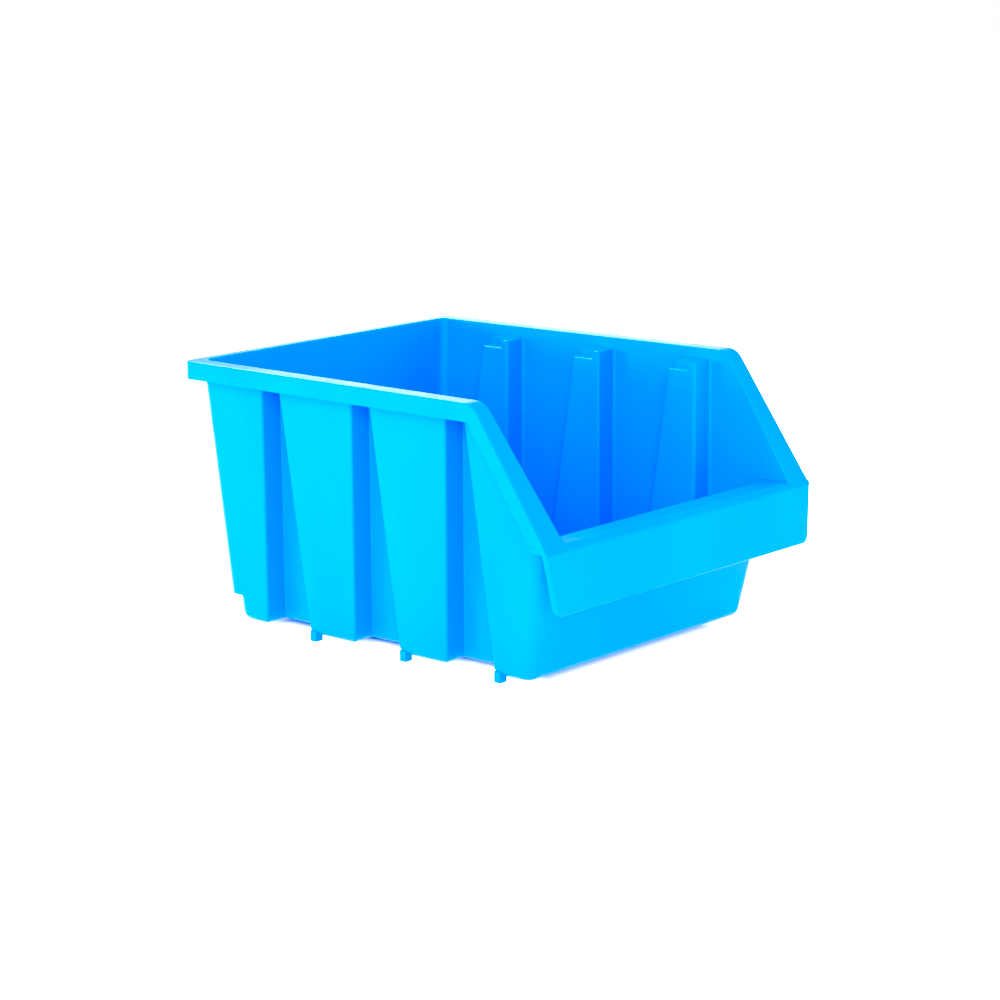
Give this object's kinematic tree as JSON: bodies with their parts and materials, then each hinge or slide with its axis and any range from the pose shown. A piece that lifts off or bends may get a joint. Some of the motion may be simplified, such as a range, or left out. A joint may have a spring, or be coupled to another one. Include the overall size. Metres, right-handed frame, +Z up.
{
  "type": "stackable storage bin",
  "caption": "Open-front stacking storage bin with a sloped side profile, fluted drafted walls, a flanged rim, a hanging label lip and small stacking lugs.",
  "frame": {"origin": "on the standing plane under the lugs, in the middle of the overall length and width", "axes": "+Z up, +Y towards the rear wall (the open front with its lip faces -Y), +X to the right of someone who stands in front of the bin"},
  "size_m": [0.179, 0.2, 0.114],
  "materials": {
    "wall_plastic": "semi-gloss moulded",
    "flute_plastic": "semi-gloss moulded",
    "rim_plastic": "semi-gloss moulded",
    "floor_plastic": "semi-gloss moulded",
    "lug_plastic": "semi-gloss moulded"
  },
  "bodies": {
    "root": {"floor_plate": "floor_plastic", "rear_wall": "wall_plastic", "rear_stacking_step": "floor_plastic", "front_wall": "wall_plastic", "front_rim": "rim_plastic", "label_lip": "rim_plastic", "rear_top_rim": "rim_plastic", "left_top_rim": "rim_plastic", "left_sloped_rim": "rim_plastic", "left_panel_1": "wall_plastic", "left_panel_2": "wall_plastic", "left_panel_3": "wall_plastic", "left_panel_4": "wall_plastic", "left_flute_1": "flute_plastic", "left_flute_2": "flute_plastic", "left_flute_3": "flute_plastic", "left_stacking_lug_1": "lug_plastic", "left_stacking_lug_2": "lug_plastic", "left_stacking_lug_3": "lug_plastic", "right_top_rim": "rim_plastic", "right_sloped_rim": "rim_plastic", "right_panel_1": "wall_plastic", "right_panel_2": "wall_plastic", "right_panel_3": "wall_plastic", "right_panel_4": "wall_plastic", "right_flute_1": "flute_plastic", "right_flute_2": "flute_plastic", "right_flute_3": "flute_plastic", "right_stacking_lug_1": "lug_plastic", "right_stacking_lug_2": "lug_plastic", "right_stacking_lug_3": "lug_plastic"}
  },
  "joints": []
}
